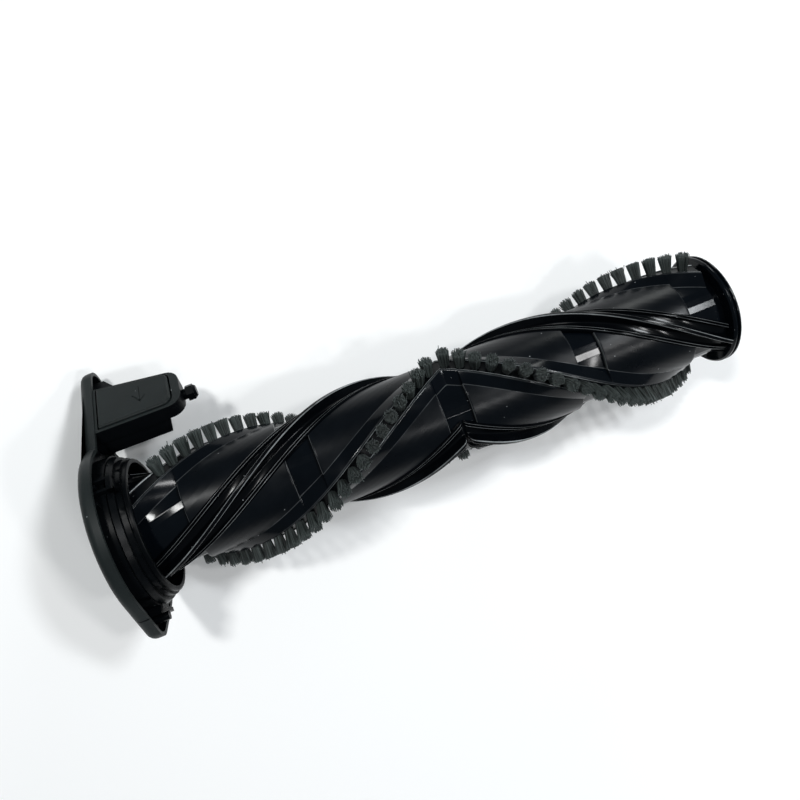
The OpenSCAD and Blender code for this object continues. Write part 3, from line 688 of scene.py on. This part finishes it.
def mark_panels(mesh, count):
    """Stores which points of the drum are satin panel, land with painted shade, or edge with
    a painted highlight.

    Bands, ribs and channels are glossy. count is the number of points round one station.
    """
    satin = mesh.attributes.new("satin_share", "FLOAT", "POINT")
    highlight_paint = mesh.attributes.new("painted_edge_highlight", "FLOAT", "POINT")
    dark = mesh.attributes.new("painted_shade_share", "FLOAT", "POINT")
    rib = len(rib_line(PANEL_R))
    gap = len(gap_points(0, 0, 1))
    channel = len(channel_line(PANEL_R))
    panels = set(range(rib, rib + gap)) | set(range(rib + gap + channel, count // 2))
    for row, (_, band, _) in enumerate(drum_stations()):
        for i in range(count):
            place = i % (count // 2)
            if band == 0 and place in panels:
                satin.data[row * count + i].value = 1.0
            # painted shade on the land between the lips; painted highlights on lips, feet
            # and band walls' upper edges
            if place in LAND_POINTS:
                dark.data[row * count + i].value = 1.0
            on_step = 0.05 < band < 0.3 and place in panels
            highlight_paint.data[row * count + i].value = LIP_HIGHLIGHT_PAINT.get(place, STEP_HIGHLIGHT_PAINT * on_step)


# ---- fins and bristles

# How much painted highlight the fin's edges get, by the points of fin_line: four beads and
# the blade's top
BEAD_HIGHLIGHT_PAINT = {**dict.fromkeys((8, 9, 20, 21, 60, 61, 72, 73), 0.55),
             **dict.fromkeys((34, 35, 36, 37, 44, 45, 46, 47), 0.8)}


def fin_line():
    """Section of a fin's strip: (degrees, radius), its top from side to side."""
    per_degree = PANEL_R * DEG
    edge = PANEL_R - 0.1
    s = STRIP_HALF
    half = [(-s, STRIP_FOOT), (-s, edge), (-s + 1.3, BEAD_R), (-s + 2.2, BEAD_R),
            (-s + 3.4, edge), (-s + 4.7, BEAD_R), (-s + 5.7, BEAD_R), (-s + 7, FLOOR_R),
            (-BLADE_HALF - 1, FLOOR_R), (-BLADE_HALF, BLADE_R - 0.3),
            (-BLADE_HALF + 0.8, BLADE_R)]
    radii = [0, 0.25, 0.4, 0.4, 0.3, 0.4, 0.4, 0.4, 0.7, 0.5, 0.5]
    points = half + [(-a, r) for a, r in reversed(half)]
    radii = radii + radii[::-1]
    flat = [(a * per_degree, r) for a, r in points]
    line = rounded_line(flat, radii)
    top = [(a / per_degree, r) for a, r in line]
    foot = [(a, STRIP_FOOT) for a in (s * 0.6, s * 0.2, -s * 0.2, -s * 0.6)]
    return top + foot


def make_fin(name, node, x0, x1, angle, tip_at):
    """One half fin, its strip rounded off at tip_at, beside the chevron's point."""
    line = fin_line()
    rows = []
    side = 1 if x1 > 0 else -1
    by_tip = [tip_at + 0.25 * side, tip_at + 0.6 * side]
    for x in sorted(set(spread(x0, x1, FIN_STEP) + by_tip)):
        inwards = min(1.0, abs(x - tip_at) / FIN_ROUNDED)
        lift = math.sqrt(max(0.0, 1 - (1 - inwards) ** 2))
        share = FIN_END_SHARE + (1 - FIN_END_SHARE) * lift
        rows.append([(x * MM, (angle + a) * DEG,
                      (r if r < FIN_BASE else FIN_BASE + (r - FIN_BASE) * share) * MM)
                     for a, r in line])
    piece = grown(name, sheet_mesh(name + "_sheet", rows), WIND, {
        "Twist": TWIST * DEG / MM, "Point X": APEX_X * MM, "Material": FIN})
    # painted highlights along the beads and the blade's top
    highlight_paint = piece.data.attributes.new("painted_edge_highlight", "FLOAT", "POINT")
    for i in range(len(rows) * len(line)):
        highlight_paint.data[i].value = BEAD_HIGHLIGHT_PAINT.get(i % len(line), 0.0)
    outward(piece.data)
    smooth(piece.data, sharp_over=35)
    return show(piece, "roll", "fin_rubber", node)


def make_tufts(name, node, side, first, angle, seed):
    """One half row of bristles, on the side of the chevron's point that side says."""
    empty = bpy.data.meshes.new(name + "_start")
    piece = grown(name, empty, TUFT, {
        "Tufts": TUFTS, "Strands": STRANDS, "Side": float(side), "First": first,
        "Pitch": PITCH * MM, "Row Angle": angle * DEG, "Twist": TWIST * DEG / MM,
        "Point X": APEX_X * MM, "Root Reach": (RIB_R - TUFT_SUNK) * MM,
        "Tip Reach": TIP_R * MM, "Root Radius": TUFT_ROOT_R * MM,
        "Tip Radius": TUFT_TIP_R * MM,
        "Strand Radius": STRAND_R * MM, "Splay": SPLAY * MM, "Ragged": RAGGED * MM,
        "Trim": TRIM * MM, "Lean": TUFT_LEAN * MM, "Seed": seed, "Material": NYLON})
    return show(piece, "roll", "bristle", node)


# ---- cap and latch


def settle(piece):
    """Turns a piece's modifiers into its plain mesh."""
    evaluated = piece.evaluated_get(bpy.context.evaluated_depsgraph_get())
    mesh = bpy.data.meshes.new_from_object(evaluated)
    old = piece.data
    piece.modifiers.clear()
    piece.data = mesh
    mesh.name = piece.name
    bpy.data.meshes.remove(old)


JOIN_WITHIN = 0.01                   # millimetres between corners that become one
FLAT_WITHIN, ROUNDED_OVER = 0.6, 30  # degrees: what counts as flat, and as an edge to round


def softened(name, node, body, slot, material, width, cutter=None, dark=None):
    """A copy of a CAD node with its flat faces joined and its edges rounded, in its place.

    cutter engraves it, and dark says of a face's middle and normal how much painted shade it
    gets.
    """
    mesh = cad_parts[node].data.copy()
    mesh.name = name
    shape = bmesh.new()
    shape.from_mesh(mesh)
    bmesh.ops.remove_doubles(shape, verts=shape.verts, dist=JOIN_WITHIN * MM)
    bmesh.ops.dissolve_limit(shape, angle_limit=FLAT_WITHIN * DEG, verts=shape.verts,
                             edges=shape.edges)
    shape.to_mesh(mesh)
    shape.free()
    mesh.materials.clear()
    mesh.materials.append(material)
    piece = bpy.data.objects.new(name, mesh)
    bpy.context.scene.collection.objects.link(piece)
    bevel = piece.modifiers.new("rounding", "BEVEL")
    bevel.width = width * MM
    bevel.segments = 2
    bevel.limit_method = "ANGLE"
    bevel.angle_limit = ROUNDED_OVER * DEG
    settle(piece)
    if cutter:
        engrave = piece.modifiers.new("engraving", "BOOLEAN")
        engrave.operation = "DIFFERENCE"
        engrave.use_self = True
        engrave.object = cutter
        settle(piece)
        bpy.data.objects.remove(cutter)
    # painted shade on the faces that dark picks
    if dark:
        shade = piece.data.attributes.new("painted_shade_share", "FLOAT", "FACE")
        for face in piece.data.polygons:
            shade.data[face.index].value = dark(face.center / MM, face.normal)
    smooth(piece.data, sharp_over=40)
    weigh = piece.modifiers.new("even_shading", "WEIGHTED_NORMAL")
    weigh.keep_sharp = True
    settle(piece)
    return show(piece, body, slot, node)


RING_STEPS = 160


def make_ring(name, profile, body, slot, material):
    """A ring round the roll's axis from a closed profile of (x, radius) points."""
    rows = []
    for k in range(RING_STEPS):
        a = 2 * math.pi * k / RING_STEPS
        rows.append([((x + APEX_X) * MM, r * math.sin(a) * MM, r * math.cos(a) * MM)
                     for x, r in profile])
    mesh = sheet_mesh(name, rows, closed_rows=True)
    mesh.materials.append(material)
    outward(mesh)
    smooth(mesh, sharp_over=35)
    return show(bpy.data.objects.new(name, mesh), body, slot)


TAB_Y = Vector((0, math.cos(TAB_ANGLE * DEG), -math.sin(TAB_ANGLE * DEG)))
TAB_Z = Vector((0, math.sin(TAB_ANGLE * DEG), math.cos(TAB_ANGLE * DEG)))


def on_tab(x, along, out):
    """A packed place from the tab's own frame, in metres: x from the chevron's point."""
    return Vector(((x + APEX_X) * MM, 0, 0)) + (TAB_Y * along + TAB_Z * out) * MM


def straight_bars(name, lines, low, high):
    """Thin bars in the tab's frame: (x, along) to (x, along) with a width, low to high."""
    verts, faces = [], []
    for start, end, width in lines:
        start, end = Vector(start), Vector(end)
        ahead = (end - start).normalized() * width / 2
        side = Vector((-ahead.y, ahead.x))
        first = len(verts)
        for out in (low, high):
            for p in (start - ahead - side, end + ahead - side, end + ahead + side,
                      start - ahead + side):
                verts.append(on_tab(p.x, p.y, out))
        faces += [[first + k for k in face] for face in (
            (3, 2, 1, 0), (4, 5, 6, 7), (0, 1, 5, 4), (1, 2, 6, 5), (2, 3, 7, 6),
            (3, 0, 4, 7))]
    mesh = bpy.data.meshes.new(name)
    mesh.from_pydata(verts, [], faces)
    piece = bpy.data.objects.new(name, mesh)
    bpy.context.scene.collection.objects.link(piece)
    return piece


def make_clip(name, bars):
    """A clip of curved bars on the collar's foot: (x0, x1, its two angles from +Y)."""
    shape = bmesh.new()
    for x0, x1, a0, a1 in bars:
        rows = []
        for a in spread(a0, a1, 3):
            out = Vector((0, math.cos(a * DEG), math.sin(a * DEG)))
            rows.append([shape.verts.new(Vector((x * MM, 0, 0)) + out * r * MM)
                         for x, r in ((x0, CLIP_R0), (x1, CLIP_R0),
                                      (x1, CLIP_R1 - CLIP_EDGE),
                                      (x1 - CLIP_EDGE, CLIP_R1), (x0, CLIP_R1))])
        for row, following in zip(rows, rows[1:]):
            for i in range(5):
                shape.faces.new((row[i], row[i - 1], following[i - 1], following[i]))
        shape.faces.new(rows[0])
        shape.faces.new(rows[-1][::-1])
    bmesh.ops.recalc_face_normals(shape, faces=shape.faces)
    mesh = bpy.data.meshes.new(name)
    shape.to_mesh(mesh)
    shape.free()
    mesh.materials.append(BODY)
    smooth(mesh, sharp_over=25)
    return show(bpy.data.objects.new(name, mesh), "end_cap", "body_black")


def make_spring():
    """The coil spring under the button."""
    rows = []
    steps, sides = 24, 8
    x, along = SPRING_AT
    for k in range(SPRING_TURNS * steps + 1):
        a = k / steps * 2 * math.pi
        low = SPRING_LOW + (SPRING_HIGH - SPRING_LOW) * k / (SPRING_TURNS * steps)
        row = []
        for n in range(sides):
            b = n / sides * 2 * math.pi
            r = SPRING_R + SPRING_WIRE * math.cos(b)
            row.append(on_tab(x + r * math.cos(a), along + r * math.sin(a),
                              low + SPRING_WIRE * math.sin(b)))
        rows.append(row)
    mesh = sheet_mesh("coil_spring", rows)
    mesh.materials.append(STEEL)
    outward(mesh)
    smooth(mesh, sharp_over=50)
    piece = show(bpy.data.objects.new("coil_spring", mesh), "end_cap", "steel",
                 "latch_spring")
    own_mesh(piece)


def latch_painted_shade(middle, normal):
    """Painted shade on the latch below the lip of its frame."""
    return 1.0 if middle.dot(TAB_Z) < LATCH_TOP - LIP_DEEP else 0.0


def cover_painted_shade(middle, normal):
    """Painted shade on the inside of the cover and on its floor."""
    inside = middle.x > COVER_FLOOR and Vector((0, middle.y, middle.z)).dot(normal) < 0
    return 1.0 if inside or (middle.x < COVER_FLOOR + 0.1 and normal.x > 0.7) else 0.0


# ---- camera, light and floor


def aim_camera():
    """The photo's view: nearly straight down, turned and tilted a little."""
    turn = Matrix.Identity(3)
    for degrees, axis in CAMERA_TURNS:
        turn = turn @ Matrix.Rotation(degrees * DEG, 3, axis)
    right, ahead, up = (Vector((w[0], w[2], -w[1])) for w in turn)
    camera = bpy.data.objects.new("photo_camera", bpy.data.cameras.new("photo_camera"))
    camera.data.sensor_width = SENSOR
    camera.data.lens = FOCAL / PHOTO_WIDTH * SENSOR
    camera.data.clip_start = 0.01
    place = Matrix((right, up, -ahead)).transposed().to_4x4()
    place.translation = Vector(CAMERA_AT) * MM
    camera.matrix_world = place
    bpy.context.scene.collection.objects.link(camera)
    bpy.context.scene.camera = camera


def area_light(name, place, target, size, power, colour=(1, 1, 1)):
    """A soft box at place, in millimetres, that faces target."""
    lamp = bpy.data.lights.new(name, "AREA")
    lamp.shape = "RECTANGLE"
    lamp.size, lamp.size_y = size[0] * MM, size[1] * MM
    lamp.energy = power
    lamp.color = colour
    holder = bpy.data.objects.new(name, lamp)
    place, target = Vector(place) * MM, Vector(target) * MM
    holder.matrix_world = Matrix.Translation(place) @ (
        (target - place).to_track_quat("-Z", "Y").to_matrix().to_4x4())
    bpy.context.scene.collection.objects.link(holder)


def set_light():
    """Small soft boxes overhead, which the photo's highlights mirror, and a dim world."""
    world = bpy.data.worlds.new("studio")
    bpy.context.scene.world = world
    world.use_nodes = True
    tree = world.node_tree
    tree.nodes.clear()
    dim = add(tree, "ShaderNodeBackground", {"Color": (0.86, 0.95, 1, 1), "Strength": 0.17})
    add(tree, "ShaderNodeOutputWorld", {"Surface": dim.outputs[0]})
    target = (-110, 0, 0)
    area_light("key", (-430, 300, 900), target, (75, 140), 3.7, (0.98, 0.99, 0.98))
    area_light("back", (440, 165, 900), target, (200, 95), 3.9, (0.93, 0.97, 1))
    area_light("front", (100, -370, 900), target, (130, 45), 1.3, (0.98, 0.99, 1))
    area_light("side", (390, -420, 900), target, (90, 60), 1.4)
    area_light("middle", (300, -40, 900), target, (80, 80), 1.6)
    area_light("window", (440, 840, 210), target, (320, 260), 2.2, (0.97, 1, 0.98))


def make_floor():
    """A pale floor that the roll lies on."""
    floor_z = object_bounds()[0][2] - FLOOR_GAP * MM
    half = FLOOR_HALF * MM
    mesh = bpy.data.meshes.new("floor")
    mesh.from_pydata([(-half, -half, floor_z), (half, -half, floor_z),
                      (half, half, floor_z), (-half, half, floor_z)], [], [(0, 1, 2, 3)])
    floor = bpy.data.objects.new("floor", mesh)
    bpy.context.scene.collection.objects.link(floor)
    material = bpy.data.materials.new("pale_floor")
    material.use_nodes = True
    tree = material.node_tree
    surface = tree.nodes["Principled BSDF"]
    surface.inputs["Base Color"].default_value = (0.97, 0.97, 0.97, 1)
    surface.inputs["Roughness"].default_value = 0.8
    mesh.materials.append(material)


def dress(node, material):
    """Gives a CAD node that stays its own material."""
    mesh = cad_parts[node].data
    mesh.materials.clear()
    mesh.materials.append(material)


# ---- the roll

aim_camera()
make_drum()
make_fin("fin_a_left_strip", "fin_a_left", DRUM_X0 + FIN_END, -FIN_GAP, FIN_A, -FIN_GAP)
make_fin("fin_a_right_strip", "fin_a_right", FIN_GAP, DRUM_X1 + FIN_OVER, FIN_A, FIN_GAP)
make_fin("fin_b_left_strip", "fin_b_left", DRUM_X0 + FIN_END, -FIN_GAP, FIN_A + 180,
         -FIN_GAP)
make_fin("fin_b_right_strip", "fin_b_right", FIN_GAP, DRUM_X1 + FIN_OVER, FIN_A + 180,
         FIN_GAP)
make_tufts("tufts_a_left", "bristles_a_left", -1, 1.0, RIB_B + 180, 11)
make_tufts("tufts_a_right", "bristles_a_right", 1, 0.5, RIB_B + 180, 12)
make_tufts("tufts_b_left", "bristles_b_left", -1, 1.0, RIB_B, 13)
make_tufts("tufts_b_right", "bristles_b_right", 1, 0.5, RIB_B, 14)

# ---- the end cap, its latch, and the ends of the roll

softened("cover_shell", "cap_cover", "end_cap", "satin_black", SATIN, 0.25,
         dark=cover_painted_shade)
softened("base_moulding", "cap_base", "end_cap", "body_black", BODY, 0.14)
make_ring("collar_lip", rounded_line(COLLAR_LIP, COLLAR_LIP_ROUNDING), "end_cap",
          "body_black", BODY)
make_clip("snap_clip", CLIP_BARS)
softened("latch_body", "latch_housing", "end_cap", "satin_black", SATIN, 0.25,
         dark=latch_painted_shade)
arrow = straight_bars("arrow_cut", [
    (ARROW_TIP, ARROW_LEFT, ARROW_W), (ARROW_TIP, ARROW_RIGHT, ARROW_W),
    (ARROW_TIP, ARROW_TOP, SHAFT_W)], BUTTON_TOP - ARROW_DEEP, BUTTON_TOP + 1)
make_spring()
softened("push_button", "latch_button", "button", "satin_black", SATIN, 0.2, cutter=arrow)
softened("peg_moulding", "locating_peg", "end_cap", "satin_black", BODY, 0.2)
softened("drive_flange", "drive_hub", "roll", "gloss_black", GLOSS, 0.15)
softened("end_disc", "end_plug", "roll", "satin_black", PLUG, 0.12)

for node in ("cap_screws", "bearing_outer_race", "bearing_balls", "bearing_shields", "axle",
             "bearing_inner_race", "axle_clip"):
    dress(node, STEEL)

# ---- the scene

set_light()
make_floor()
bpy.context.scene.view_settings.view_transform = "Standard"
